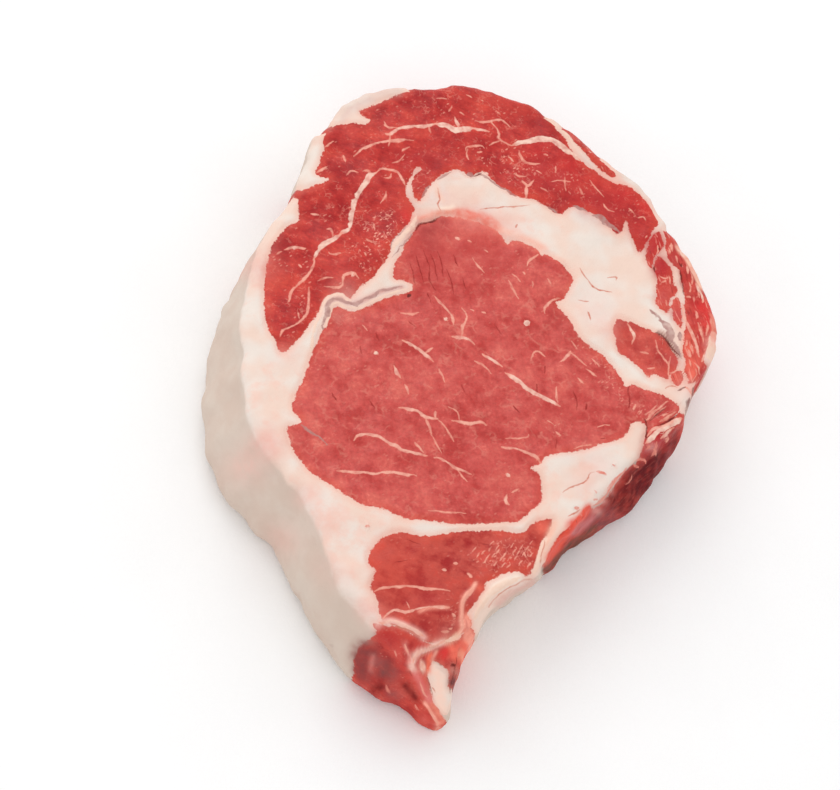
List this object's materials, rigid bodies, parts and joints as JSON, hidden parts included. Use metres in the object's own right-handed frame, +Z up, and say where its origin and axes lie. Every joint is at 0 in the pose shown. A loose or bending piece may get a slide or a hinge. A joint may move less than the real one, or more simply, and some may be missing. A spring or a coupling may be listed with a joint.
{
  "type": "raw ribeye steak",
  "caption": "Raw boneless ribeye steak with a thick fat edge, a broad cap end and a narrow tail, lying flat on its underside.",
  "frame": {"origin": "middle of the steak's box at its underside, on the surface it lies on", "axes": "+Z up through the steak's thickness, +Y from the tail to the broad cap end, +X from the fat side to the lean side"},
  "size_m": [0.1558, 0.2049, 0.0329],
  "materials": {
    "raw_beef": null
  },
  "bodies": {
    "root": {"steak": "raw_beef"}
  },
  "joints": []
}
